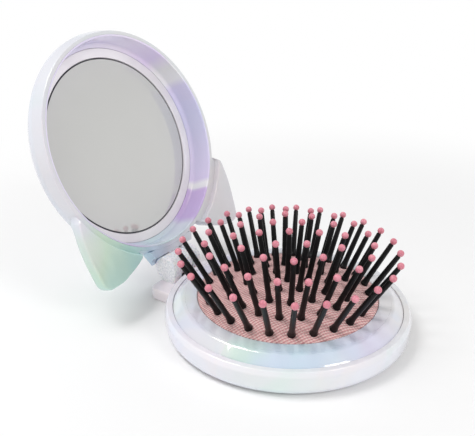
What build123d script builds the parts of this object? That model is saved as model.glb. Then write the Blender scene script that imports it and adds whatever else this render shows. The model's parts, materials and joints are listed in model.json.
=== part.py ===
from build123d import *
import math
import os

os.makedirs("parts", exist_ok=True)

# A folding pocket hairbrush: a round case whose lid holds a mirror and whose base holds a
# rubber cushion with ball-tipped bristles. Millimetres, +Z up, +Y towards the hinge.
# The origin is the centre of the base's flat underside. Everything is modelled open.

# The case
CASE_R = 40.0           # outer radius of the base and of the lid
BASE_H = 8.15           # height of the base's rim
BASE_BORE_R = 33.6      # open middle of the base, where the brush head moves
RIM_BORE_R = 37.4       # inner radius of the base's rim
SLEEVE_R = 33.3         # bore of the bezel's sleeve
BEZEL_TOP = 10.7        # where the base's bezel meets the brush head
BEZEL_FOOT = 8.2        # where it meets the rim
WALL = 1.8              # wall of the base

# The lid, closed: depths are measured up from the face that meets the base
LID_FACE_Z = 8.45
LID_DEPTH = 11.6
LID_RIM_R = 38.9        # the lid narrows from CASE_R to this at its face
DISH_LIP_R = 37.0       # the dish's radius at the lid's face
DISH_TURN_R = 36.6      # and where its wall turns in
DISH_TURN_DEPTH = 7.5
DISH_FLOOR_R = 35.3     # where the mirror's bezel starts
DISH_DEPTH = 8.4        # from the lid's face to the mirror's bezel
MIRROR_R = 31.75
MIRROR_DEPTH = 9.1      # from the lid's face to the glass
GLASS_T = 0.85

# The hinge, parallel to X
HINGE_Y, HINGE_Z = 45.9, 8.96
OPEN_DEG = 111.8        # angle between the closed lid and the open one
BARREL_R = 4.6          # the base's two barrels
BARREL_END_X = 7.4
KNUCKLE_R = 4.4         # the lid's knuckle between them
KNUCKLE_HALF = 3.0
BARREL_IN_X = 3.3
PIN_R = 1.05
PIN_HALF = 6.6
PIN_PLAY = 0.05         # radial clearance of the pin in the lid's knuckle
LUG_HALF, LUG_BACK_Y, LUG_H = 14.0, 48.2, 4.2
BRACKET_FLOOR_Z = 2.7   # the bracket's plate is let into the lug down to here
SCREW_X, SCREW_Y = 5.35, 44.4
SCREW_SHANK_R, SCREW_HEAD_R, SCREW_HEAD_H = 0.8, 1.5, 1.0
SCREW_TOP_Z = 6.6

# The ears on the lid, as the closed lid is seen from above
EAR_NOTCH = (36.9, 14.8)
EAR_SIDE = (38.3, 26.5)
EAR_SHOULDER = (37.6, 34.5)
EAR_TIP = (36.4, 42.3)
EAR_UNDER = (27.6, 41.9)
EAR_ROOT = (14.2, 35.9)
EAR_INSIDE = (25.0, 26.0)
EAR_FRONT, EAR_BACK = -2.2, 2.8  # depths of the ear's two faces
EAR_CLEAR_R = 40.4      # in front of the lid's face the ears stay outside the base

# The web between the ears, which ends round the hinge's barrels
WEB_HALF_ROOT, WEB_HALF_END = 11.5, 8.6
WEB_CLEAR_R = 5.0

# The brush head
HEAD_R = 33.0           # outer radius of the ring round the cushion
HEAD_TOP = 10.9
CUSHION_R = 29.2
CUSHION_EDGE_Z = 10.75
CUSHION_TOP_Z = 15.6
CUSHION_T = 1.0
FLANGE_R, FLANGE_Z, FLANGE_T = 31.1, 9.1, 0.75
SKIRT_R, SKIRT_T = 32.9, 0.8     # rubber wall that joins the head to the base
SKIRT_Z = 4.15                   # underside of its clamped edge
SKIRT_EDGE_R = 35.3

# The bristles: rings of (name, count, radius at the foot, outward lean, angle of the first)
RINGS = [
    ("outer", 25, 25.9, 31.3, 11.9),
    ("second", 19, 19.5, 24.2, 14.2),
    ("third", 12, 13.0, 15.2, 5.2),
    ("inner", 6, 6.5, 9.8, 4.8),
    ("centre", 1, 0.0, 0.0, 0.0),
]
DIMPLE = 0.1            # how far a foot sinks into the cushion
BRISTLE_L = 17.5        # from the cushion to the centre of the ball
FOOT_R, FOOT_L = 1.3, 2.2
SHAFT_R, NECK_TOP_R = 0.82, 0.7
STEM_R = 0.6            # where it passes through the cushion
ROOT_R, ROOT_T = 1.25, 0.6
ROOT_DEPTH = 1.15       # from the cushion's face down to the root's disc
PEG_R, PEG_L = 0.45, 0.7
BALL_R = 1.12
GAP = 0.05              # round the stems, feet and roots


def turned(*corners):
    """A solid of revolution about Z. Each corner is (radius, height, rounding)."""
    outline = FilletPolyline(
        *[(r, z) for r, z, _ in corners], radius=[c for _, _, c in corners], close=True
    )
    return revolve(Plane.XZ * make_face(outline), Axis.Z)


def block(x0, x1, y0, y1, z0, z1):
    """A box between two corners."""
    centre = ((x0 + x1) / 2, (y0 + y1) / 2, (z0 + z1) / 2)
    return Pos(*centre) * Box(x1 - x0, y1 - y0, z1 - z0)


def rod(radius, z0, z1):
    """A cylinder on the Z axis between two heights."""
    return Pos(0, 0, (z0 + z1) / 2) * Cylinder(radius, z1 - z0)


def hinge_rod(radius, x0, x1):
    """A cylinder on the hinge's axis between two values of X."""
    place = Pos((x0 + x1) / 2, HINGE_Y, HINGE_Z) * Rot(0, 90, 0)
    return place * Cylinder(radius, x1 - x0)


def opened(closed):
    """Swings a piece of the closed lid open about the hinge's axis."""
    return closed.rotate(Axis((0, HINGE_Y, HINGE_Z), (1, 0, 0)), -OPEN_DEG)


def at_depth(*corners):
    """A turned piece of the lid, from corners given as (radius, depth, rounding)."""
    return turned(*[(r, LID_FACE_Z + depth, c) for r, depth, c in corners])


def save(name, shape):
    shape.label = name
    export_step(shape, f"parts/{name}.step")


# ---- Base ----------------------------------------------------------------------------

def base_shell():
    inner = CASE_R - WALL
    shell = turned(
        (BASE_BORE_R, 0, 0.2),
        (CASE_R, 0, 5.2),
        (CASE_R, 6.6, 1.5),
        (CASE_R - 0.7, BASE_H, 0.45),
        (RIM_BORE_R, BASE_H, 0.3),
        (RIM_BORE_R, 6.2, 0),
        (RIM_BORE_R - 1.2, 6.2, 0),
        (RIM_BORE_R - 1.2, 5.4, 0),
        (inner, 4.4, 0),
        (inner, 3.6, 0.8),
        (inner - 2.0, 1.6, 0.5),
        (BASE_BORE_R + 2.0, 1.6, 0),
        (BASE_BORE_R + 2.0, SKIRT_Z, 0),
        (BASE_BORE_R, SKIRT_Z, 0),
    )
    plan = Pos(0, LUG_BACK_Y / 2 + 15) * RectangleRounded(
        2 * LUG_HALF, LUG_BACK_Y - 30, 3.0
    )
    lug = extrude(plan, LUG_H) - rod(CASE_R - 3.5, -1, LUG_H + 1)
    lug = fillet(lug.faces().sort_by(Axis.Z)[-1].edges(), 0.7)
    pocket = block(
        -BARREL_END_X - 0.1, BARREL_END_X + 0.1, 41.3, 47.4, BRACKET_FLOOR_Z, LUG_H + 1
    )
    shell = shell + lug - pocket
    for side in (-1, 1):
        place = Pos(side * SCREW_X, SCREW_Y, 0)
        shell -= place * rod(SCREW_SHANK_R + 0.1, -1, BRACKET_FLOOR_Z + 1)
        shell -= place * rod(SCREW_HEAD_R + 0.2, -1, SCREW_HEAD_H + 0.2)
    return shell


def base_bezel():
    return turned(
        (SLEEVE_R, 4.9, 0),
        (SLEEVE_R + 1.3, 4.9, 0),
        (SLEEVE_R + 1.3, 6.25, 0),
        (RIM_BORE_R - 0.15, 6.25, 0),
        (RIM_BORE_R - 0.15, BEZEL_FOOT - 0.4, 0),
        (RIM_BORE_R - 0.55, BEZEL_FOOT, 0),
        (SLEEVE_R + 1.0, BEZEL_TOP - 0.2, 1.5),
        (SLEEVE_R, BEZEL_TOP, 0.2),
    )


def hinge_bracket():
    bracket = block(
        -BARREL_END_X, BARREL_END_X, 41.4, 47.3, BRACKET_FLOOR_Z, LUG_H
    )
    for side in (-1, 1):
        x0, x1 = sorted((side * BARREL_IN_X, side * BARREL_END_X))
        barrel = hinge_rod(BARREL_R, x0, x1)
        outer_rim = barrel.edges().filter_by(GeomType.CIRCLE).sort_by(Axis.X)
        barrel = fillet(outer_rim[0] if side < 0 else outer_rim[-1], 0.6)
        bracket += barrel + block(x0, x1, 41.7, 47.2, LUG_H - 0.5, HINGE_Z)
    bracket -= hinge_rod(PIN_R, -PIN_HALF, PIN_HALF)
    for side in (-1, 1):
        bracket -= Pos(side * SCREW_X, SCREW_Y, 0) * rod(SCREW_SHANK_R, 0, SCREW_TOP_Z)
    return bracket


def hinge_bracket_screws():
    screw = turned(
        (0, 0.1, 0),
        (SCREW_HEAD_R, 0.1, 0.3),
        (SCREW_HEAD_R, 0.1 + SCREW_HEAD_H, 0),
        (SCREW_SHANK_R, 0.1 + SCREW_HEAD_H, 0),
        (SCREW_SHANK_R, SCREW_TOP_Z - 0.4, 0),
        (0, SCREW_TOP_Z - 0.1, 0),
    )
    for turn in (0, 90):
        screw -= Rot(0, 0, turn) * block(-0.9, 0.9, -0.18, 0.18, 0, 0.6)
    return Compound([Pos(side * SCREW_X, SCREW_Y, 0) * screw for side in (-1, 1)])


def hinge_washers():
    washers = []
    for side in (-1, 1):
        x0, x1 = sorted((side * (KNUCKLE_HALF + 0.05), side * (BARREL_IN_X - 0.05)))
        washers.append(hinge_rod(3.6, x0, x1) - hinge_rod(PIN_R + PIN_PLAY, x0, x1))
    return Compound(washers)


# ---- Brush head ----------------------------------------------------------------------

def cushion_skirt():
    top = 8.35
    return turned(
        (SKIRT_R - SKIRT_T, SKIRT_Z, 0.2),
        (SKIRT_EDGE_R, SKIRT_Z, 0),
        (SKIRT_EDGE_R, SKIRT_Z + 0.7, 0),
        (SKIRT_R, SKIRT_Z + 0.7, 0.3),
        (SKIRT_R, top, 0),
        (SKIRT_R - 1.5, top, 0),
        (SKIRT_R - 1.5, top - 0.7, 0),
        (SKIRT_R - SKIRT_T, top - 0.7, 0.3),
    )


def head_ring():
    return turned(
        (CUSHION_R + 0.2, FLANGE_Z + FLANGE_T + 0.05, 0),
        (CUSHION_R + 0.2, HEAD_TOP, 0.3),
        (HEAD_R, HEAD_TOP - 0.1, 0.15),
        (HEAD_R, 8.4, 0.2),
        (FLANGE_R + 0.2, 8.4, 0.2),
        (FLANGE_R + 0.2, FLANGE_Z + FLANGE_T + 0.05, 0),
    )


def head_clamp_ring():
    return turned(
        (28.2, 8.2, 0.2),
        (FLANGE_R + 0.2, 8.2, 0),
        (FLANGE_R + 0.2, FLANGE_Z - 0.05, 0),
        (28.2, FLANGE_Z - 0.05, 0),
    )


DOME_RISE = CUSHION_TOP_Z - CUSHION_EDGE_Z
DOME_R = (CUSHION_R**2 + DOME_RISE**2) / (2 * DOME_RISE)


def dome_z(radius, drop=0.0):
    """Height of the cushion's face, or of a face that lies drop beneath it."""
    return CUSHION_TOP_Z - DOME_R + math.sqrt((DOME_R - drop) ** 2 - radius**2)


def placed(count, foot_r, lean_deg, first_deg):
    """The frames of one ring's bristles: local Z runs from the foot to the ball."""
    foot_z = dome_z(foot_r) - DIMPLE
    return [
        Rot(0, 0, first_deg + 360 / count * i) * Pos(foot_r, 0, foot_z) * Rot(0, lean_deg, 0)
        for i in range(count)
    ]


def bristle():
    shaft_end = BRISTLE_L - BALL_R + 0.12
    return turned(
        (0, -ROOT_DEPTH - ROOT_T, 0),
        (ROOT_R, -ROOT_DEPTH - ROOT_T, 0.2),
        (ROOT_R, -ROOT_DEPTH, 0),
        (STEM_R, -ROOT_DEPTH, 0),
        (STEM_R, 0, 0),
        (FOOT_R, 0, 0.2),
        (FOOT_R - 0.05, 0.7, 0.5),
        (SHAFT_R, FOOT_L, 1.5),
        (NECK_TOP_R, shaft_end, 0),
        (PEG_R, shaft_end, 0),
        (PEG_R, shaft_end + PEG_L, 0),
        (0, shaft_end + PEG_L, 0),
    )


def ball_tip():
    shaft_end = BRISTLE_L - BALL_R + 0.12
    ball = Pos(0, 0, BRISTLE_L) * Sphere(BALL_R)
    ball -= rod(BALL_R, shaft_end - 1, shaft_end)
    return ball - rod(PEG_R, shaft_end - 1, shaft_end + PEG_L + 0.05)


def bristle_hole():
    """What one bristle takes out of the cushion."""
    over, under = 3.0, 4.0
    return turned(
        (0, -ROOT_DEPTH - under, 0),
        (ROOT_R + GAP, -ROOT_DEPTH - under, 0),
        (ROOT_R + GAP, -ROOT_DEPTH + GAP, 0),
        (STEM_R + GAP, -ROOT_DEPTH + GAP, 0),
        (STEM_R + GAP, -GAP, 0),
        (FOOT_R + GAP, -GAP, 0),
        (FOOT_R + GAP, over, 0),
        (0, over, 0),
    )


def cushion():
    inner_r = 28.2
    face_mid, back_mid = CUSHION_R / 2, inner_r / 2
    back_top = CUSHION_TOP_Z - CUSHION_T
    flange_top = FLANGE_Z + FLANGE_T
    face = ThreePointArc(
        (CUSHION_R, CUSHION_EDGE_Z), (face_mid, dome_z(face_mid)), (0, CUSHION_TOP_Z)
    )
    back = ThreePointArc(
        (0, back_top),
        (back_mid, dome_z(back_mid, CUSHION_T)),
        (inner_r, dome_z(inner_r, CUSHION_T)),
    )
    edge = Polyline(
        (inner_r, dome_z(inner_r, CUSHION_T)),
        (inner_r, FLANGE_Z),
        (FLANGE_R, FLANGE_Z),
        (FLANGE_R, flange_top),
        (CUSHION_R, flange_top),
        (CUSHION_R, CUSHION_EDGE_Z),
    )
    middle = Line((0, CUSHION_TOP_Z), (0, back_top))
    section = make_face(Curve() + [face, middle, back, edge])
    pad = revolve(Plane.XZ * section, Axis.Z)
    hole = bristle_hole()
    holes = []
    for _, *layout in RINGS:
        holes += [place * hole for place in placed(*layout)]
    return pad - holes


# ---- Lid -----------------------------------------------------------------------------

def ear():
    """The ear on the +X side, closed."""
    side = ThreePointArc(EAR_NOTCH, EAR_SIDE, EAR_SHOULDER)
    tip = FilletPolyline(EAR_SHOULDER, EAR_TIP, EAR_UNDER, EAR_ROOT, radius=[3.2, 12.0])
    root = ThreePointArc(EAR_ROOT, EAR_INSIDE, EAR_NOTCH)
    plate = extrude(make_face(Curve() + [side, tip, root]), EAR_BACK - EAR_FRONT)
    plate = Pos(0, 0, LID_FACE_Z + EAR_FRONT) * plate
    for depth, rounding in ((EAR_BACK, 1.9), (EAR_FRONT, 0.6)):
        outer_edge = [
            e for e in plate.edges()
            if e.length > 1 and abs((e @ 0.5).Z - LID_FACE_Z - depth) < 0.01
            and math.hypot((e @ 0.5).X, (e @ 0.5).Y) > CASE_R
        ]
        plate = fillet(outer_edge, rounding)
    return plate - rod(EAR_CLEAR_R, 0, LID_FACE_Z) - rod(LID_RIM_R, LID_FACE_Z - 1, 30)


def web():
    """The plate between the ears, closed, with a hollow end round the hinge's barrels."""
    plan = Polyline(
        (-WEB_HALF_ROOT, 37.5), (WEB_HALF_ROOT, 37.5), (WEB_HALF_END, 44.0), (-WEB_HALF_END, 44.0),
        close=True,
    )
    plate = Pos(0, 0, LID_FACE_Z + 0.2) * extrude(make_face(plan), 4.8)
    barrel_room = hinge_rod(WEB_CLEAR_R, -WEB_HALF_ROOT - 1, WEB_HALF_ROOT + 1)
    return plate - barrel_room - rod(LID_RIM_R, 0, 30)


def lid_shell():
    shell = at_depth(
        (DISH_LIP_R + 0.6, 0, 0),
        (LID_RIM_R, 0, 0.35),
        (CASE_R, 3.7, 2.0),
        (CASE_R, 5.6, 2.0),
        (37.9, 9.2, 2.0),
        (34.6, LID_DEPTH, 3.0),
        (0, LID_DEPTH, 0),
        (0, LID_DEPTH - 0.8, 0),
        (34.3, LID_DEPTH - 0.8, 1.5),
        (37.3, 8.65, 1.5),
        (CASE_R - 1.3, 6.25, 1.5),
        (CASE_R - 1.3, 4.2, 0.8),
    )
    ears = ear()
    arm_top = HINGE_Z + KNUCKLE_R
    arm = block(-KNUCKLE_HALF, KNUCKLE_HALF, 39.2, HINGE_Y, LID_FACE_Z + 0.6, arm_top)
    knuckle = hinge_rod(KNUCKLE_R, -KNUCKLE_HALF, KNUCKLE_HALF)
    shell = shell + ears + mirror(ears, Plane.YZ) + web() + arm + knuckle
    shell -= hinge_rod(PIN_R + PIN_PLAY, -KNUCKLE_HALF - 1, KNUCKLE_HALF + 1)
    return opened(shell)


def lid_liner():
    floor = 10.2
    return opened(at_depth(
        (DISH_LIP_R, 0, 0.3),
        (DISH_LIP_R + 0.55, 0, 0),
        (DISH_TURN_R + 0.55, 7.9, 1.0),
        (DISH_FLOOR_R + 0.15, 9.85, 0),
        (DISH_FLOOR_R - 1.0, floor + 0.5, 0),
        (0, floor + 0.5, 0),
        (0, floor, 0),
        (DISH_FLOOR_R - 1.3, floor, 0),
        (DISH_FLOOR_R - 1.3, DISH_DEPTH + 0.9, 0),
        (DISH_FLOOR_R, DISH_DEPTH + 0.9, 0),
        (DISH_FLOOR_R, DISH_DEPTH, 0),
        (DISH_TURN_R, DISH_TURN_DEPTH, 1.0),
    ))


def mirror_bezel():
    return opened(at_depth(
        (MIRROR_R + 0.2, DISH_DEPTH + 0.45, 0.25),
        (DISH_FLOOR_R - 0.05, DISH_DEPTH, 0.3),
        (DISH_FLOOR_R - 0.05, DISH_DEPTH + 0.85, 0),
        (DISH_FLOOR_R - 1.35, DISH_DEPTH + 0.85, 0),
        (DISH_FLOOR_R - 1.35, 10.15, 0),
        (MIRROR_R + 0.2, 10.15, 0),
    ))


def mirror_glass():
    return opened(at_depth(
        (0, MIRROR_DEPTH, 0),
        (MIRROR_R - 0.35, MIRROR_DEPTH, 0),
        (MIRROR_R, MIRROR_DEPTH + 0.25, 0),
        (MIRROR_R, MIRROR_DEPTH + GLASS_T, 0),
        (0, MIRROR_DEPTH + GLASS_T, 0),
    ))


def mirror_pad():
    top = MIRROR_DEPTH + GLASS_T
    return opened(at_depth((0, top, 0), (30.5, top, 0), (30.5, 10.2, 0), (0, 10.2, 0)))


save("base_shell", base_shell())
save("base_bezel", base_bezel())
save("hinge_bracket", hinge_bracket())
save("hinge_bracket_screws", hinge_bracket_screws())
save("hinge_pin", hinge_rod(PIN_R, -PIN_HALF, PIN_HALF))
save("hinge_washers", hinge_washers())
save("cushion_skirt", cushion_skirt())
save("head_ring", head_ring())
save("head_clamp_ring", head_clamp_ring())
save("cushion", cushion())
save("lid_shell", lid_shell())
save("lid_liner", lid_liner())
save("mirror_bezel", mirror_bezel())
save("mirror_glass", mirror_glass())
save("mirror_pad", mirror_pad())
for ring, *layout in RINGS:
    places = placed(*layout)
    save(f"bristles_{ring}", Compound([place * bristle() for place in places]))
    save(f"ball_tips_{ring}", Compound([place * ball_tip() for place in places]))
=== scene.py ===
import json
import math

import bmesh
import bpy
import numpy as np
from mathutils import Matrix, Vector


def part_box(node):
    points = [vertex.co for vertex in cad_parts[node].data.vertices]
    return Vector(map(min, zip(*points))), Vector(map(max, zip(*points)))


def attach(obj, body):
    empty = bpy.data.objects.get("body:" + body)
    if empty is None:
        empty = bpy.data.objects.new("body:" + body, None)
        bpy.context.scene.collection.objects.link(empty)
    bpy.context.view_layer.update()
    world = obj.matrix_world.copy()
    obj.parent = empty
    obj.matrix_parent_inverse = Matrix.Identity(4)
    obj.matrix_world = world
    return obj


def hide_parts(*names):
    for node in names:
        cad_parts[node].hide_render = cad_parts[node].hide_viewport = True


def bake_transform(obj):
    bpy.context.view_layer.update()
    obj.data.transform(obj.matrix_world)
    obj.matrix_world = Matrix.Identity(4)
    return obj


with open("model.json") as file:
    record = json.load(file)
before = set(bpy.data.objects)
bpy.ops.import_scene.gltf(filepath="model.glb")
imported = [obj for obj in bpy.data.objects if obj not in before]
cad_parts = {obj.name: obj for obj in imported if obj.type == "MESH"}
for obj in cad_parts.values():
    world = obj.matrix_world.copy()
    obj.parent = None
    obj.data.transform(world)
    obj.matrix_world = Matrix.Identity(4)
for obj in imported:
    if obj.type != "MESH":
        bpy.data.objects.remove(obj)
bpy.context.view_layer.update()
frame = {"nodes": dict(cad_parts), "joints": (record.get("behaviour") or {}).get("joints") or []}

# A folding pocket hairbrush, open on a pale floor. Lengths in this script are millimetres, in the
# row's frame, and become metres when a mesh is made.
MM = 0.001

# ---- What the frame says ---------------------------------------------------------------

joints = {joint["name"]: joint for joint in frame["joints"]}
HINGE = Vector(joints["lid_hinge"]["pos_m"]) / MM
OPEN_DEG = -joints["lid_hinge"]["range_deg"][0]
CASE_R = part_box("base_shell")[1].x / MM
RIM_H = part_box("base_shell")[1].z / MM
LUG_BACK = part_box("base_shell")[1].y / MM
BEZEL_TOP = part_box("base_bezel")[1].z / MM
BEZEL_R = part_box("base_bezel")[1].x / MM
HEAD_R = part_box("head_ring")[1].x / MM
HEAD_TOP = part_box("head_ring")[1].z / MM
CUSHION_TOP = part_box("cushion")[1].z / MM
FLANGE_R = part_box("cushion")[1].x / MM
SKIRT_LOW, SKIRT_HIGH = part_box("cushion_skirt")[0].z / MM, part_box("cushion_skirt")[1].z / MM
SKIRT_EDGE_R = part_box("cushion_skirt")[1].x / MM
MIRROR_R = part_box("mirror_glass")[1].x / MM
SURROUND_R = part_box("mirror_bezel")[1].x / MM

# Radii that the boxes don't give
BASE_BORE_R = 33.6      # open middle of the base
RIM_BORE_R = 37.4       # inside of the base's rim
SLEEVE_R = 33.3         # the bezel's bore
BASE_WALL = 1.8

# The hinge
LUG_HALF = 14.0
BRACKET_INSET = 1.5     # how far the bracket's plate is let into the lug
KNUCKLE_R, KNUCKLE_HALF = 4.4, 3.0
WEB_CLEAR_R = 5.0       # hollow end of the web, round the barrels
PLATE_HALF, PLATE_TAPER, PLATE_START = 11.5, 2.9 / 6.5, 37.5

# The closed lid: depths are measured up from the face that meets the base
LID_FACE = 8.45
LID_DEPTH = 11.6
LID_WALL = 1.3
LID_SKIN = 0.8
GLASS_DEPTH, GLASS_T = 9.1, 0.85
OPEN_LID = (
    Matrix.Translation(HINGE)
    @ Matrix.Rotation(math.radians(-OPEN_DEG), 4, "X")
    @ Matrix.Translation(-HINGE)
)


# ---- Mesh helpers ----------------------------------------------------------------------

def rounded(corners, steps=6, closed=True):
    """An outline from (x, y, rounding) corners. Each corner gives steps + 1 points."""
    points = []
    count = len(corners)
    for i, (x, y, radius) in enumerate(corners):
        here = Vector((x, y))
        if not closed and i in (0, count - 1):
            points += [here] * (steps + 1)
            continue
        before = (Vector(corners[i - 1][:2]) - here)
        after = (Vector(corners[(i + 1) % count][:2]) - here)
        half = before.angle(after, math.pi) / 2
        if radius < 1e-6 or half > math.radians(89):
            points += [here] * (steps + 1)
            continue
        reach = min(radius / math.tan(half), before.length * 0.49, after.length * 0.49)
        a, b = here + before.normalized() * reach, here + after.normalized() * reach
        bow = reach * math.tan(half)
        middle = here + (before.normalized() + after.normalized()).normalized() * (
            reach / math.cos(half)
        )
        start = math.atan2(a.y - middle.y, a.x - middle.x)
        turn = math.atan2(b.y - middle.y, b.x - middle.x) - start
        turn = (turn + math.pi) % (2 * math.pi) - math.pi
        for k in range(steps + 1):
            angle = start + turn * k / steps
            points.append(middle + Vector((math.cos(angle), math.sin(angle))) * bow)
    return points


def linked(name, mesh, sharp_deg):
    """An object from a mesh, smooth except at edges sharper than sharp_deg."""
    mesh.polygons.foreach_set("use_smooth", [True] * len(mesh.polygons))
    mesh.set_sharp_from_angle(angle=math.radians(sharp_deg))
    piece = bpy.data.objects.new(name, mesh)
    bpy.context.scene.collection.objects.link(piece)
    return piece


def make_object(name, verts, faces, sharp_deg=32):
    mesh = bpy.data.meshes.new(name)
    mesh.from_pydata([tuple(Vector(v) * MM) for v in verts], [], faces)
    work = bmesh.new()
    work.from_mesh(mesh)
    bmesh.ops.remove_doubles(work, verts=work.verts, dist=2e-6)
    bmesh.ops.dissolve_degenerate(work, edges=work.edges, dist=1e-7)
    bmesh.ops.recalc_face_normals(work, faces=work.faces)
    work.to_mesh(mesh)
    work.free()
    return linked(name, mesh, sharp_deg)


def bevelled(name, work, width, segments):
    """An object from a block's bmesh, with its sharp edges rounded."""
    bmesh.ops.recalc_face_normals(work, faces=work.faces)
    edges = [e for e in work.edges if len(e.link_faces) == 2 and e.calc_face_angle(0) > 0.8]
    bmesh.ops.bevel(
        work, geom=edges, offset=width * MM, segments=segments, profile=0.5, affect="EDGES",
        clamp_overlap=True,
    )
    mesh = bpy.data.meshes.new(name)
    work.to_mesh(mesh)
    work.free()
    return linked(name, mesh, 40)


def full_turn(segments):
    return [2 * math.pi * s / segments for s in range(segments)]


def round_solid(name, outline_at, angles, place=None, sharp_deg=32):
    """A closed solid round Z, from an outline of (radius, height) points for each angle."""
    verts, faces = [], []
    for angle in angles:
        for r, z in outline_at(angle):
            point = Vector((r * math.cos(angle), r * math.sin(angle), z))
            verts.append(place @ point if place else point)
    segments = len(angles)
    count = len(verts) // segments
    for s in range(segments):
        for k in range(count):
            a, b = s * count + k, s * count + (k + 1) % count
            following = (s + 1) % segments * count
            faces.append((a, b, following + (k + 1) % count, following + k))
    return make_object(name, verts, faces, sharp_deg)


def turned(name, corners, steps=6, place=None):
    outline = rounded(corners, steps)
    return round_solid(name, lambda angle: outline, full_turn(288), place)


def lid_turned(name, corners):
    """A turned piece of the lid: corners are (radius, depth from the lid's face, rounding)."""
    return turned(name, [(r, LID_FACE + depth, c) for r, depth, c in corners], place=OPEN_LID)


def fixed(piece, body, slot, material, *nodes):
    """Says where a piece belongs and what it stands for."""
    piece.data.materials.clear()
    piece.data.materials.append(material)
    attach(piece, body)
    if nodes:
        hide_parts(*nodes)
    return piece


# ---- Materials -------------------------------------------------------------------------

class Nodes:
    """A short way to write a material's node tree."""

    def __init__(self, name):
        self.material = bpy.data.materials.new(name)
        self.material.use_nodes = True
        self.tree = self.material.node_tree
        self.shader = self.tree.nodes["Principled BSDF"]
        self.place = self.add("ShaderNodeTexCoord").outputs["Object"]

    def add(self, kind, **settings):
        node = self.tree.nodes.new(kind)
        for key, value in settings.items():
            setattr(node, key, value)
        return node

    def link(self, source, target):
        self.tree.links.new(source, target)

    def noise(self, scale, detail=3.0, place=None, distortion=0.0):
        node = self.add("ShaderNodeTexNoise")
        node.inputs["Scale"].default_value = scale
        node.inputs["Detail"].default_value = detail
        node.inputs["Distortion"].default_value = distortion
        self.link(place or self.place, node.inputs["Vector"])
        return node.outputs["Fac"]

    def ramp(self, value, stops, interpolation="EASE"):
        node = self.add("ShaderNodeValToRGB")
        node.color_ramp.interpolation = interpolation
        elements = node.color_ramp.elements
        while len(elements) < len(stops):
            elements.new(0.5)
        for element, (position, colour) in zip(elements, stops):
            element.position = position
        for element, (position, colour) in zip(elements, stops):
            element.color = (*colour, 1.0)
        self.link(value, node.inputs["Fac"])
        return node.outputs["Color"]

    def level(self, value, low, high):
        """Maps a 0 to 1 value onto low to high."""
        node = self.add("ShaderNodeMapRange")
        node.inputs["To Min"].default_value = low
        node.inputs["To Max"].default_value = high
        self.link(value, node.inputs["Value"])
        return node.outputs["Result"]

    def maths(self, operation, a, b=None):
        node = self.add("ShaderNodeMath", operation=operation)
        for socket, value in zip(node.inputs, (a, b)):
            if value is None:
                continue
            if isinstance(value, (int, float)):
                socket.default_value = value
            else:
                self.link(value, socket)
        return node.outputs[0]

    def mixed(self, share, a, b, blend="MIX"):
        node = self.add("ShaderNodeMix", data_type="RGBA", blend_type=blend)
        sockets = [s for s in node.inputs if s.enabled]
        for socket, value in zip(sockets, (share, a, b)):
            if isinstance(value, (int, float)):
                socket.default_value = value
            elif isinstance(value, tuple):
                socket.default_value = (*value, 1.0)
            else:
                self.link(value, socket)
        return [s for s in node.outputs if s.enabled][0]

    def radius(self, place):
        """Distance from the Z axis, in metres."""
        flat = self.add("ShaderNodeVectorMath", operation="MULTIPLY")
        self.link(place, flat.inputs[0])
        flat.inputs[1].default_value = (1.0, 1.0, 0.0)
        length = self.add("ShaderNodeVectorMath", operation="LENGTH")
        self.link(flat.outputs[0], length.inputs[0])
        return length.outputs["Value"]

    def bump(self, height, strength, distance):
        node = self.add("ShaderNodeBump")
        node.inputs["Strength"].default_value = strength
        node.inputs["Distance"].default_value = distance
        self.link(height, node.inputs["Height"])
        self.link(node.outputs["Normal"], self.shader.inputs["Normal"])
        return node

    def set(self, **values):
        for name, value in values.items():
            self.shader.inputs[name.replace("_", " ")].default_value = value

    def colour(self, source):
        self.link(source, self.shader.inputs["Base Color"])


def srgb(r, g, b):
    """A display colour, 0 to 255, as the linear colour a shader takes."""
    out = []
    for value in (r, g, b):
        v = value / 255
        out.append(v / 12.92 if v <= 0.04045 else ((v + 0.055) / 1.055) ** 2.4)
    return tuple(out)


def angle_place(nodes, in_lid):
    """Coordinates about the axis of the base, or of the closed lid, in metres."""
    if not in_lid:
        return nodes.place
    mapping = nodes.add("ShaderNodeMapping", vector_type="POINT")
    back = OPEN_LID.inverted()
    mapping.inputs["Rotation"].default_value = back.to_euler()
    mapping.inputs["Location"].default_value = back.to_translation() * MM
    nodes.link(nodes.place, mapping.inputs["Vector"])
    return mapping.outputs["Vector"]


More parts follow.
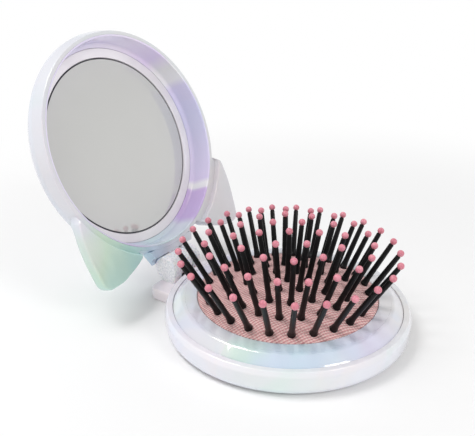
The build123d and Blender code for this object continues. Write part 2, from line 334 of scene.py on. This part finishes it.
def pearl(name, patches, in_lid=False, drift=0.035, blend=0.35, lift=0.2, gloss=1.5):
    """Iridescent pearl plastic.

    patches are (degrees, colour) round the axis, from -180 to 180: the plastic's pearl tint with
    painted reflections and painted shade in it, fixed by angle. They fade towards the axis.
    """
    nodes = Nodes(name)
    place = angle_place(nodes, in_lid)
    wobble = nodes.noise(55.0, 2.0, place)
    round_axis = nodes.add("ShaderNodeTexGradient", gradient_type="RADIAL")
    nodes.link(place, round_axis.inputs["Vector"])
    turn = nodes.maths("ADD", round_axis.outputs["Fac"], nodes.level(wobble, -drift, drift))
    stops = [((degrees + 180) / 360, srgb(*colour)) for degrees, colour in patches]
    # the patches by angle: pearl tint with painted reflections and painted shade
    tint_and_painted_reflection = nodes.ramp(turn, stops, "LINEAR")
    rim = nodes.add("ShaderNodeMapRange", interpolation_type="SMOOTHSTEP")
    rim.inputs["From Min"].default_value = 0.020
    rim.inputs["From Max"].default_value = 0.037
    nodes.link(nodes.radius(place), rim.inputs["Value"])
    tint = nodes.mixed(rim.outputs["Result"], srgb(220, 219, 228), tint_and_painted_reflection)
    cloud = nodes.ramp(
        nodes.noise(38.0, 2.5, place, 1.2),
        [
            (0.30, srgb(206, 226, 226)),
            (0.44, srgb(226, 224, 236)),
            (0.56, srgb(232, 222, 228)),
            (0.70, srgb(208, 214, 238)),
        ],
    )
    base = nodes.mixed(lift, nodes.mixed(blend, tint, cloud), (1.0, 1.0, 1.0))
    flake = nodes.noise(2600.0, 1.0, place)
    nodes.colour(nodes.mixed(nodes.level(flake, 0.0, 0.10), base, (1.0, 1.0, 1.0)))
    roughness = nodes.level(nodes.noise(420.0, 2.0, place), 0.16, 0.26)
    nodes.link(roughness, nodes.shader.inputs["Roughness"])
    nodes.bump(nodes.noise(160.0, 2.0, place), 0.03, 0.0004)
    nodes.set(
        Coat_Weight=0.8,
        Coat_Roughness=0.03,
        Coat_IOR=gloss,
        Thin_Film_Thickness=430.0,
        Thin_Film_IOR=1.42,
        Specular_IOR_Level=0.55,
    )
    return nodes.material


def frosted(name):
    nodes = Nodes(name)
    speckle = nodes.noise(1500.0, 3.0)
    greys = [(0.35, srgb(222, 224, 230)), (0.5, srgb(238, 239, 242)), (0.62, srgb(250, 250, 252))]
    nodes.colour(nodes.ramp(speckle, greys))
    nodes.bump(speckle, 0.5, 0.0002)
    nodes.set(Roughness=0.55, Subsurface_Weight=0.15, Subsurface_Scale=0.001)
    return nodes.material


def mirror_silver(name):
    """A mirror painted a slightly uneven flat grey in place of its reflection, with a painted shadow in
    a thin dark ring on its bevelled edge.
    """
    nodes = Nodes(name)
    place = angle_place(nodes, True)
    grey_unevenness = nodes.noise(30.0, 2.0)
    # painted reflection: a flat grey in place of what the mirror would show
    face = nodes.ramp(grey_unevenness, [(0.3, (0.635, 0.64, 0.62)), (0.7, (0.655, 0.66, 0.64))])
    # painted shadow: a thin dark ring on the glass's bevelled edge
    bevel = nodes.add("ShaderNodeMapRange")
    bevel.inputs["From Min"].default_value = (MIRROR_R - 0.45) * MM
    bevel.inputs["From Max"].default_value = (MIRROR_R - 0.35) * MM
    nodes.link(nodes.radius(place), bevel.inputs["Value"])
    nodes.colour(nodes.mixed(bevel.outputs["Result"], face, (0.06, 0.06, 0.07)))
    nodes.link(nodes.level(nodes.noise(240.0, 2.0), 0.03, 0.06), nodes.shader.inputs["Roughness"])
    nodes.set(Metallic=0.22)
    return nodes.material


def woven_rubber(name):
    """Pink cushion face: fine rows of a knit, with painted shade making it slightly darker in the
    furrows.
    """
    nodes = Nodes(name)
    mapping = nodes.add("ShaderNodeMapping")
    mapping.inputs["Rotation"].default_value = (0, 0, math.radians(28))
    nodes.link(nodes.place, mapping.inputs["Vector"])

    def wave(direction, scale, distortion, detail_scale, low):
        node = nodes.add("ShaderNodeTexWave", wave_type="BANDS", bands_direction=direction)
        node.inputs["Scale"].default_value = scale
        node.inputs["Distortion"].default_value = distortion
        node.inputs["Detail"].default_value = 1.0
        node.inputs["Detail Scale"].default_value = detail_scale
        nodes.link(mapping.outputs["Vector"], node.inputs["Vector"])
        return nodes.level(node.outputs["Fac"], low, 1.0)

    knit = nodes.maths("MULTIPLY", wave("Y", 340.0, 1.2, 0.6, 0.15), wave("X", 320.0, 2.4, 1.0, 0.45))
    # the darkest pink is painted shade in the knit's furrows
    pinks = [(0.08, srgb(192, 124, 128)), (0.40, srgb(240, 186, 184)), (0.85, srgb(255, 226, 220))]
    patchy = nodes.level(nodes.noise(90.0, 3.0), 0.0, 0.30)
    nodes.colour(nodes.mixed(patchy, nodes.ramp(knit, pinks), srgb(236, 184, 180)))
    nodes.bump(knit, 0.9, 0.0004)
    nodes.set(Roughness=0.72, Sheen_Weight=0.35, Sheen_Roughness=0.5)
    return nodes.material


def plain(name, colours, roughness, scale=300.0, bump=0.05, **settings):
    """A moulded plastic or metal with a little variation in colour and gloss."""
    nodes = Nodes(name)
    grain = nodes.noise(scale, 3.0)
    nodes.colour(nodes.ramp(grain, [(0.3, srgb(*colours[0])), (0.7, srgb(*colours[1]))]))
    nodes.link(nodes.level(nodes.noise(scale * 2.1, 2.0), *roughness), nodes.shader.inputs["Roughness"])
    nodes.bump(grain, bump, 0.0002)
    nodes.set(**settings)
    return nodes.material


WHITE, PALE, PINK = (234, 234, 238), (222, 224, 230), (232, 216, 224)
LILAC, SAND = (206, 198, 228), (216, 210, 206)
MINT, SKY = (160, 214, 198), (168, 208, 238)

# The coloured patches in the pearls below are painted reflections of the studio over each plastic's
# pearl tint.
shell_pearl = pearl(
    "pearl_shell",
    [(-180, (238, 232, 244)), (-150, (224, 236, 236)), (-120, (232, 228, 240)),
     (-60, (228, 224, 218)), (0, PALE), (60, PINK),
     (115, (232, 222, 232)), (150, (226, 222, 236)), (180, (238, 232, 244))],
)
bezel_pearl = pearl(
    "pearl_bezel",
    [(-180, (206, 214, 222)), (-175, MINT), (-167, MINT), (-156, SKY), (-124, SKY),
     (-114, (204, 198, 240)), (-96, (212, 206, 236)), (-70, SAND), (-20, SAND), (40, PALE),
     (80, LILAC), (105, (212, 206, 228)), (130, (200, 216, 206)), (150, (214, 208, 230)),
     (180, (206, 214, 222))],
    lift=0.16, gloss=1.9,
)
lug_pearl = pearl(
    "pearl_lug",
    [(-180, (240, 226, 234)), (60, (242, 228, 236)), (90, (244, 222, 232)), (180, (240, 226, 234))],
    blend=0.15, lift=0.3,
)
# The lid's patches are darker than the base's: painted shade, with painted reflections in the blue and
# green ones.
lid_pearl = pearl(
    "pearl_lid",
    [(-180, (210, 208, 220)), (-120, (212, 212, 220)), (-60, (212, 214, 216)), (0, (214, 214, 218)),
     (30, (204, 198, 204)), (50, (208, 194, 202)), (68, (206, 202, 212)), (90, (196, 196, 220)),
     (106, (160, 196, 226)), (120, (146, 210, 200)), (136, (176, 214, 182)), (155, (216, 214, 226)),
     (180, (210, 208, 220))],
    in_lid=True, blend=0.2, lift=0.12,
)
# The liner's narrow white bands are painted highlights, and its crisp lavender and purple bands are
# painted reflections.
liner_pearl = pearl(
    "pearl_liner",
    [(-180, (224, 214, 244)), (-110, (222, 206, 246)), (-66, (230, 214, 246)), (-46, (222, 198, 250)),
     (-36, WHITE), (-27, (244, 244, 252)), (-22, (212, 204, 255)), (0, (204, 206, 255)),
     (24, (216, 204, 252)), (37, (216, 196, 248)), (39, (244, 240, 250)), (42, (242, 238, 248)),
     (44, (186, 136, 224)), (66, (186, 136, 224)), (72, (206, 212, 232)), (95, (196, 224, 232)),
     (118, (190, 170, 226)), (140, (208, 198, 232)), (180, (224, 214, 244))],
    in_lid=True, drift=0.008, blend=0.12, lift=0.2,
)
surround_cream = plain(
    "mirror_surround", [(230, 226, 230), (242, 239, 242)], (0.12, 0.22), 60.0, 0.02, Coat_Weight=0.6
)
frost = frosted("frosted_plastic")
silver = mirror_silver("mirror")
weave = woven_rubber("woven_cushion")
rubber = plain("pink_rubber", [(196, 116, 120), (214, 140, 142)], (0.5, 0.65), 200.0, 0.08)
bristle_black = plain(
    "black_bristle", [(5, 5, 6), (12, 12, 13)], (0.30, 0.42), 900.0, 0.12,
    Coat_Weight=0.06, Specular_IOR_Level=0.22,
)
tip_pink = plain(
    "pink_tip", [(208, 122, 138), (228, 150, 164)], (0.30, 0.42), 500.0, 0.05,
    Subsurface_Weight=0.1, Subsurface_Scale=0.0006,
)
white_plastic = plain("white_plastic", [(214, 214, 218), (228, 228, 231)], (0.35, 0.5), 300.0, 0.05)
nylon = plain("nylon", [(206, 203, 196), (222, 220, 214)], (0.4, 0.55), 500.0, 0.05)
steel = plain("steel", [(150, 150, 154), (190, 190, 194)], (0.22, 0.38), 700.0, 0.08, Metallic=1.0)
foam = plain("foam", [(220, 220, 214), (238, 238, 232)], (0.8, 0.95), 900.0, 0.3)


# ---- Base ------------------------------------------------------------------------------

def base_pieces():
    inner, ledge = CASE_R - BASE_WALL, BASE_BORE_R + 2
    ring = turned("base_ring", [
        (BASE_BORE_R, 0, 0.3), (CASE_R, 0, 5.2), (CASE_R, 6.6, 1.8), (CASE_R - 0.7, RIM_H, 0.5),
        (RIM_BORE_R, RIM_H, 0.2), (RIM_BORE_R, 6.2, 0), (36.2, 6.2, 0), (36.2, 5.4, 0),
        (inner, 4.4, 0), (inner, 3.6, 0.8), (36.2, 1.6, 0.5), (ledge, 1.6, 0.3),
        (ledge, SKIRT_LOW, 0), (BASE_BORE_R, SKIRT_LOW, 0),
    ], steps=8)
    fixed(ring, "base", "pearl_shell", shell_pearl, "base_shell")
    fixed(lug_block(), "base", "pearl_shell", lug_pearl)
    bezel = turned("base_bezel_ring", [
        (SLEEVE_R, 4.9, 0), (34.6, 4.9, 0), (34.6, 6.25, 0), (BEZEL_R + 0.05, 6.25, 0),
        (BEZEL_R + 0.05, 7.85, 0.1), (36.9, 8.25, 0.3), (34.3, BEZEL_TOP - 0.15, 1.6),
        (SLEEVE_R, BEZEL_TOP + 0.05, 0.02),
    ], steps=8)
    fixed(bezel, "base", "pearl_bezel", bezel_pearl, "base_bezel")


def lug_block():
    """The lug that carries the hinge: a rounded slab that runs in under the base's side."""
    inner, height = 36.6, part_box("hinge_bracket")[0].z / MM + BRACKET_INSET
    reach = math.asin(LUG_HALF / inner)
    plan = [(inner * math.sin(a), inner * math.cos(a)) for a in np.linspace(-reach, reach, 33)]
    back = [(LUG_HALF, 30, 0), (LUG_HALF, LUG_BACK, 3), (-LUG_HALF, LUG_BACK, 3), (-LUG_HALF, 30, 0)]
    plan += [(p.x, p.y) for p in rounded(back, 8, closed=False) if p.y > 40]
    work = bmesh.new()
    work.faces.new([work.verts.new((x * MM, y * MM, 0)) for x, y in plan])
    bmesh.ops.remove_doubles(work, verts=work.verts, dist=1e-6)
    grown = bmesh.ops.extrude_face_region(work, geom=work.faces[:])
    top = [v for v in grown["geom"] if isinstance(v, bmesh.types.BMVert)]
    bmesh.ops.translate(work, verts=top, vec=(0, 0, height * MM))
    return bevelled("hinge_lug", work, 0.6, 5)


# ---- Brush head ------------------------------------------------------------------------

RINGS = {  # count, radius at the foot, outward lean in degrees, angle of the first one
    "outer": (25, 25.9, 31.3, 11.9),
    "second": (19, 19.5, 24.2, 14.2),
    "third": (12, 13.0, 15.2, 5.2),
    "inner": (6, 6.5, 9.8, 4.8),
    "centre": (1, 0.0, 0.0, 0.0),
}
CUSHION_R = 29.2
CUSHION_EDGE = 10.75
RISE = CUSHION_TOP - CUSHION_EDGE
DOME_R = (CUSHION_R**2 + RISE**2) / (2 * RISE)
BRISTLE_L, BALL_R = 17.5, 1.12


def dome(radius):
    return CUSHION_TOP - DOME_R + math.sqrt(DOME_R**2 - radius**2)


def bristle_places(ring):
    count, foot_r, lean, first = RINGS[ring]
    for i in range(count):
        yield (
            Matrix.Rotation(math.radians(first + 360 / count * i), 4, "Z")
            @ Matrix.Translation((foot_r, 0, dome(foot_r) - 0.1))
            @ Matrix.Rotation(math.radians(lean), 4, "Y")
        )


def copies(name, verts, faces, places):
    """One mesh from copies of a small one."""
    all_verts, all_faces = [], []
    for place in places:
        first = len(all_verts)
        all_verts += [place @ v for v in verts]
        all_faces += [tuple(first + i for i in face) for face in faces]
    return make_object(name, all_verts, all_faces, 50)


def lathe_lists(outline, segments):
    """Vertices and faces of an open outline turned about Z, closed at both ends."""
    verts, faces = [], []
    for s in range(segments):
        angle = 2 * math.pi * s / segments
        verts += [Vector((r * math.cos(angle), r * math.sin(angle), z)) for r, z in outline]
    count = len(outline)
    for s in range(segments):
        n = (s + 1) % segments
        for k in range(count - 1):
            faces.append((s * count + k, s * count + k + 1, n * count + k + 1, n * count + k))
    return verts, faces


def bristle_outline():
    corners = [
        (0.0, -1.75, 0), (1.25, -1.75, 0.2), (1.25, -1.15, 0.1), (0.6, -1.15, 0), (0.6, -0.05, 0),
        (1.22, -0.05, 0.15), (1.34, 0.35, 0.3), (1.14, 1.1, 0.6), (0.93, 2.6, 2.0), (0.90, 8.0, 6.0),
        (0.80, 16.3, 0.05), (0.50, 16.6, 0), (0.0, 16.6, 0),
    ]
    return [(p.x, p.y) for p in rounded(corners, 4, closed=False)]


def ball_outline():
    points = []
    for k in range(17):
        angle = -math.pi / 2 + math.pi * k / 16
        points.append((BALL_R * math.cos(angle), BRISTLE_L + BALL_R * math.sin(angle)))
    return points


def cushion_piece():
    """The woven rubber dome, dimpled round each bristle, with its hidden edge and back."""
    feet = []
    for ring in RINGS:
        feet += [(place.translation.x, place.translation.y) for place in bristle_places(ring)]
    feet = np.array(feet)
    segments, rings = 360, 150
    radii = CUSHION_R * np.linspace(0, 1, rings + 1)
    verts, faces = [], []
    for radius in radii[1:]:
        for s in range(segments):
            angle = 2 * math.pi * s / segments
            x, y = radius * math.cos(angle), radius * math.sin(angle)
            near = np.hypot(feet[:, 0] - x, feet[:, 1] - y)
            dent = 0.34 * np.exp(-((near / 1.9) ** 2)).sum() - 0.10 * np.exp(
                -(((near - 3.0) / 1.2) ** 2)
            ).sum()
            edge = min(1.0, (CUSHION_R - radius) / 1.5)
            verts.append((x, y, dome(radius) - dent * edge))
    back = [(CUSHION_R, 9.85), (FLANGE_R, 9.85), (FLANGE_R, 9.1), (28.2, 9.1), (28.2, 9.9)]
    back += [(r, dome(r) - 1.05) for r in (27, 24, 20, 16, 12, 8, 4, 1)]
    for radius, z in back:
        for s in range(segments):
            angle = 2 * math.pi * s / segments
            verts.append((radius * math.cos(angle), radius * math.sin(angle), z))
    rows = len(verts) // segments
    for row in range(rows - 1):
        for s in range(segments):
            n = (s + 1) % segments
            here, under = row * segments, (row + 1) * segments
            faces.append((here + s, here + n, under + n, under + s))
    faces.append(tuple(range(segments))[::-1])
    faces.append(tuple((rows - 1) * segments + s for s in range(segments)))
    return make_object("woven_cushion", verts, faces, 55)


def head_pieces():
    ring = turned("head_ring_band", [
        (CUSHION_R + 0.15, 9.9, 0), (CUSHION_R + 0.15, HEAD_TOP, 0.35),
        (HEAD_R + 0.28, HEAD_TOP - 0.15, 0.02), (HEAD_R + 0.28, 8.4, 0.2),
        (FLANGE_R + 0.2, 8.4, 0.2), (FLANGE_R + 0.2, 9.9, 0),
    ], steps=8)
    fixed(ring, "head", "pearl_bezel", bezel_pearl, "head_ring")
    skirt = turned("rubber_skirt", [
        (32.1, SKIRT_LOW, 0.2), (SKIRT_EDGE_R, SKIRT_LOW, 0), (SKIRT_EDGE_R, SKIRT_LOW + 0.7, 0),
        (32.9, SKIRT_LOW + 0.7, 0.3), (32.9, 5.6, 0), (32.9, 6.6, 0), (32.9, 7.5, 0),
        (32.9, SKIRT_HIGH, 0), (31.4, SKIRT_HIGH, 0), (31.4, SKIRT_HIGH - 0.7, 0),
        (32.1, SKIRT_HIGH - 0.7, 0.3), (32.1, 6.6, 0), (32.1, 5.6, 0),
    ], steps=3)
    skirt.data.materials.append(rubber)
    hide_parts("cushion_skirt")
    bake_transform(skirt)
    cushion = cushion_piece()
    cushion.data.materials.append(weave)
    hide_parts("cushion")
    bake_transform(cushion)
    for name in RINGS:
        body = "head" if name == "outer" else f"{name}_ring"
        verts, faces = lathe_lists(bristle_outline(), 28)
        bristles = copies(f"bristle_set_{name}", verts, faces, bristle_places(name))
        fixed(bristles, body, "black_bristle", bristle_black, f"bristles_{name}")
        verts, faces = lathe_lists(ball_outline(), 32)
        balls = copies(f"ball_set_{name}", verts, faces, bristle_places(name))
        fixed(balls, body, "pink_tip", tip_pink, f"ball_tips_{name}")


# ---- Lid -------------------------------------------------------------------------------

EAR_FRONT, EAR_BACK = -2.2, 2.8  # depths of the ears' faces
EAR_CLEAR_R = 40.4      # in front of the lid's face the ears stay outside the base


def ear_outline():
    """The +X ear as the closed lid is seen from above: its edge in polar form."""
    notch, side, shoulder = Vector((36.9, 14.8)), Vector((38.3, 26.5)), Vector((37.6, 34.5))
    tip, under, root = (36.4, 42.3, 3.2), (27.6, 41.9, 12.0), (14.2, 35.9, 0)
    middle = (side - notch).length / ((side - notch).length + (shoulder - side).length)
    bow = []
    for t in np.linspace(0, 1, 25):
        bow.append(
            notch * ((t - middle) * (t - 1) / middle)
            + side * (t * (t - 1) / (middle * (middle - 1)))
            + shoulder * (t * (t - middle) / (1 - middle))
        )
    path = bow + rounded([(*shoulder, 0), tip, under, root], 12, closed=False)
    path = [Vector((35.0, 4.0))] + path + [Vector((6.0, 33.0))]
    angles = np.array([math.atan2(p.y, p.x) for p in path])
    radii = np.array([p.length for p in path])
    order = np.argsort(angles, kind="stable")
    return angles[order], radii[order]


EAR_ANGLES, EAR_RADII = ear_outline()


def lid_outline(angle):
    """The lid's section at an angle. Away from the ears their corners lie on the lid's side."""
    folded = math.atan2(math.sin(angle), abs(math.cos(angle)))
    reach = float(np.interp(folded, EAR_ANGLES, EAR_RADII, left=30.0, right=30.0))
    out = min(1.0, max(0.0, (reach - EAR_CLEAR_R) / 1.6))
    out = out * out * (3 - 2 * out)

    def to(r, depth, rounding, flat_r, flat_depth):
        share = 1 - out
        return (r * out + flat_r * share, depth * out + flat_depth * share, rounding * out)

    tip = max(reach, EAR_CLEAR_R + 0.2)
    corners = [
        (37.62, 0.0, 0.03), (38.9, 0.0, 0.35 - 0.25 * out), to(EAR_CLEAR_R, 0.02, 0, 39.14, 0.8),
        to(EAR_CLEAR_R, EAR_FRONT, 0.5, 39.20, 1.0), to(tip, EAR_FRONT, 0.7, 39.32, 1.4),
        to(tip, EAR_BACK, 1.9, 39.55, 2.2), to(39.9, EAR_BACK, 0.8, 39.73, 2.8),
        (CASE_R, 3.7, 2.0 - 1.5 * out), (CASE_R, 5.6, 2.0), (37.9, 9.2, 2.0), (34.6, LID_DEPTH, 3.0),
        (0, LID_DEPTH, 0), (0, LID_DEPTH - LID_SKIN, 0), (34.3, LID_DEPTH - LID_SKIN, 1.5),
        (37.3, 8.65, 1.5), (CASE_R - LID_WALL, 6.25, 1.5), (CASE_R - LID_WALL, 4.2, 0.8),
    ]
    return [(p.x, p.y + LID_FACE) for p in rounded(corners, 6)]


def lid_angles():
    """Angles round the lid in degrees, close together where the ears are."""
    right = [d / 4 for d in range(72, 300)]
    rest = list(range(-90, 18)) + right + list(range(75, 90))
    whole = rest + [90] + [180 - d for d in reversed(rest[1:])]
    return [math.radians(d) for d in whole]


def side_profile(name, points, half_at, bevel):
    """A closed lid's block from points (y, z), as wide on each side of X = 0 as half_at(y)."""
    verts = [Vector((side * half_at(y), y, z)) for side in (-1, 1) for y, z in points]
    count = len(points)
    work = bmesh.new()
    made = [work.verts.new(OPEN_LID @ v * MM) for v in verts]
    work.faces.new(made[:count])
    work.faces.new(made[count:][::-1])
    for k in range(count):
        n = (k + 1) % count
        work.faces.new((made[k], made[count + k], made[count + n], made[n]))
    return bevelled(name, work, bevel, 4)


def hinge_arc(radius, start_deg, end_deg, steps):
    """Points (y, z) about the hinge's axis, from one angle to another."""
    return [
        (HINGE.y + radius * math.cos(a), HINGE.z + radius * math.sin(a))
        for a in np.radians(np.linspace(start_deg, end_deg, steps))
    ]


def lid_pieces():
    shell = round_solid("lid_outer_shell", lid_outline, lid_angles(), OPEN_LID, 40)
    fixed(shell, "lid", "pearl_shell", lid_pearl, "lid_shell")
    low, high = LID_FACE + 0.2, LID_FACE + 5.0
    web_arc = hinge_arc(
        WEB_CLEAR_R,
        180 + math.degrees(math.asin((HINGE.z - low) / WEB_CLEAR_R)),
        180 - math.degrees(math.asin((high - HINGE.z) / WEB_CLEAR_R)),
        14,
    )
    web = side_profile(
        "hinge_web", [(37.9, low)] + web_arc + [(37.9, high)],
        lambda y: PLATE_HALF - PLATE_TAPER * (y - PLATE_START), 0.3,
    )
    fixed(web, "lid", "pearl_shell", lid_pearl)
    arm_root = 38.6
    arm = [(arm_root, LID_FACE + 0.6)] + hinge_arc(KNUCKLE_R, 180, 450, 56)
    knuckle = side_profile(
        "lid_knuckle", arm + [(arm_root, HINGE.z + KNUCKLE_R)], lambda y: KNUCKLE_HALF, 0.25
    )
    fixed(knuckle, "lid", "frosted_plastic", frost)
    liner = lid_turned("lid_dish_wall", [
        (37.0, 0, 0.3), (37.6, 0, 0.03), (37.15, 7.9, 1.0), (35.45, 9.85, 0), (34.3, 10.7, 0),
        (0, 10.7, 0), (0, 10.2, 0), (34.0, 10.2, 0), (34.0, 9.3, 0), (35.3, 9.3, 0),
        (35.3, 8.4, 0), (36.6, 7.5, 1.2),
    ])
    fixed(liner, "lid", "pearl_liner", liner_pearl, "lid_liner")
    surround = lid_turned("mirror_surround_ring", [
        (31.95, 8.85, 0.25), (SURROUND_R, 8.4, 0.3), (SURROUND_R, 9.25, 0),
        (SURROUND_R - 1.3, 9.25, 0), (SURROUND_R - 1.3, 10.15, 0), (31.95, 10.15, 0),
    ])
    fixed(surround, "lid", "mirror_surround", surround_cream, "mirror_bezel")
    glass = lid_turned("mirror_plate", [
        (0, GLASS_DEPTH, 0), (MIRROR_R - 0.35, GLASS_DEPTH, 0.1),
        (MIRROR_R, GLASS_DEPTH + 0.25, 0.05), (MIRROR_R, GLASS_DEPTH + GLASS_T, 0),
        (0, GLASS_DEPTH + GLASS_T, 0),
    ])
    fixed(glass, "lid", "mirror", silver, "mirror_glass")


def cad_pieces():
    """CAD nodes whose shape is right as it is, with better materials."""
    for node, material in {
        "hinge_bracket": frost, "hinge_bracket_screws": steel, "hinge_pin": steel,
        "hinge_washers": nylon, "head_clamp_ring": white_plastic, "mirror_pad": foam,
    }.items():
        mesh = frame["nodes"][node].data
        mesh.materials.clear()
        mesh.materials.append(material)


base_pieces()
head_pieces()
lid_pieces()
cad_pieces()


# ---- Stage -----------------------------------------------------------------------------

def stage():
    """A floor that is paper near the brush and plain white further out, and a white studio."""
    floor_mesh = bpy.data.meshes.new("floor")
    size = 8.0
    floor_mesh.from_pydata(
        [(-size, -size, 0), (size, -size, 0), (size, size, 0), (-size, size, 0)], [], [(0, 1, 2, 3)]
    )
    floor = bpy.data.objects.new("floor", floor_mesh)
    bpy.context.scene.collection.objects.link(floor)
    paper = Nodes("floor_paper")
    paper.colour(paper.ramp(paper.noise(3.0), [(0.3, (0.87, 0.87, 0.87)), (0.7, (0.89, 0.89, 0.89))]))
    paper.set(
        Roughness=0.9, Specular_IOR_Level=0.1, Emission_Color=(1.0, 1.0, 1.0, 1.0),
        Emission_Strength=0.01,
    )
    distance = paper.add("ShaderNodeVectorMath", operation="LENGTH")
    paper.link(paper.place, distance.inputs[0])
    far = paper.add("ShaderNodeMapRange", interpolation_type="SMOOTHSTEP")
    far.inputs["From Min"].default_value = 0.10
    far.inputs["From Max"].default_value = 0.26
    paper.link(distance.outputs["Value"], far.inputs["Value"])
    white = paper.add("ShaderNodeEmission")
    mix = paper.add("ShaderNodeMixShader")
    paper.link(far.outputs["Result"], mix.inputs[0])
    paper.link(paper.shader.outputs[0], mix.inputs[1])
    paper.link(white.outputs[0], mix.inputs[2])
    paper.link(mix.outputs[0], paper.tree.nodes["Material Output"].inputs["Surface"])
    floor_mesh.materials.append(paper.material)

    world = bpy.data.worlds.new("studio")
    world.use_nodes = True
    nodes, links = world.node_tree.nodes, world.node_tree.links
    direction = nodes.new("ShaderNodeTexCoord")
    split = nodes.new("ShaderNodeSeparateXYZ")
    shade = nodes.new("ShaderNodeValToRGB")
    links.new(direction.outputs["Generated"], split.inputs[0])
    links.new(split.outputs["Z"], shade.inputs["Fac"])
    links.new(shade.outputs["Color"], nodes["Background"].inputs["Color"])
    stops = [(0.0, 1.0), (0.16, 1.0), (0.34, 0.70), (0.75, 0.48), (1.0, 0.55)]
    elements = shade.color_ramp.elements
    while len(elements) < len(stops):
        elements.new(0.5)
    for element, (position, level) in zip(elements, stops):
        element.position = position
    for element, (position, level) in zip(elements, stops):
        element.color = (level, level, level, 1.0)
    bpy.context.scene.world = world
    bpy.context.scene.view_settings.view_transform = "Standard"


def lamp(name, place, aim, size, watts):
    light = bpy.data.lights.new(name, "AREA")
    light.size = size
    light.energy = watts
    lamp_object = bpy.data.objects.new(name, light)
    bpy.context.scene.collection.objects.link(lamp_object)
    lamp_object.location = place
    lamp_object.rotation_euler = (Vector(aim) - Vector(place)).to_track_quat("-Z", "Y").to_euler()


def camera():
    azimuth, elevation = math.radians(-55.29), math.radians(23.44)
    back = Vector((
        math.sin(azimuth) * math.cos(elevation),
        -math.cos(azimuth) * math.cos(elevation),
        math.sin(elevation),
    ))
    place = Vector((-0.16892, -0.09722, 0.12174))
    lens = bpy.data.cameras.new("camera")
    lens.sensor_width = 36.0
    lens.lens = 51.59
    lens.clip_start = 0.01
    view = bpy.data.objects.new("camera", lens)
    bpy.context.scene.collection.objects.link(view)
    view.location = place
    view.rotation_euler = (-back).to_track_quat("-Z", "Y").to_euler()
    bpy.context.scene.camera = view


stage()
lamp("key", (-0.16, 0.26, 0.58), (0, 0.02, 0.02), 0.28, 2.0)
lamp("fill", (-0.05, -0.50, 0.42), (0, 0.02, 0.03), 0.20, 0.9)
camera()
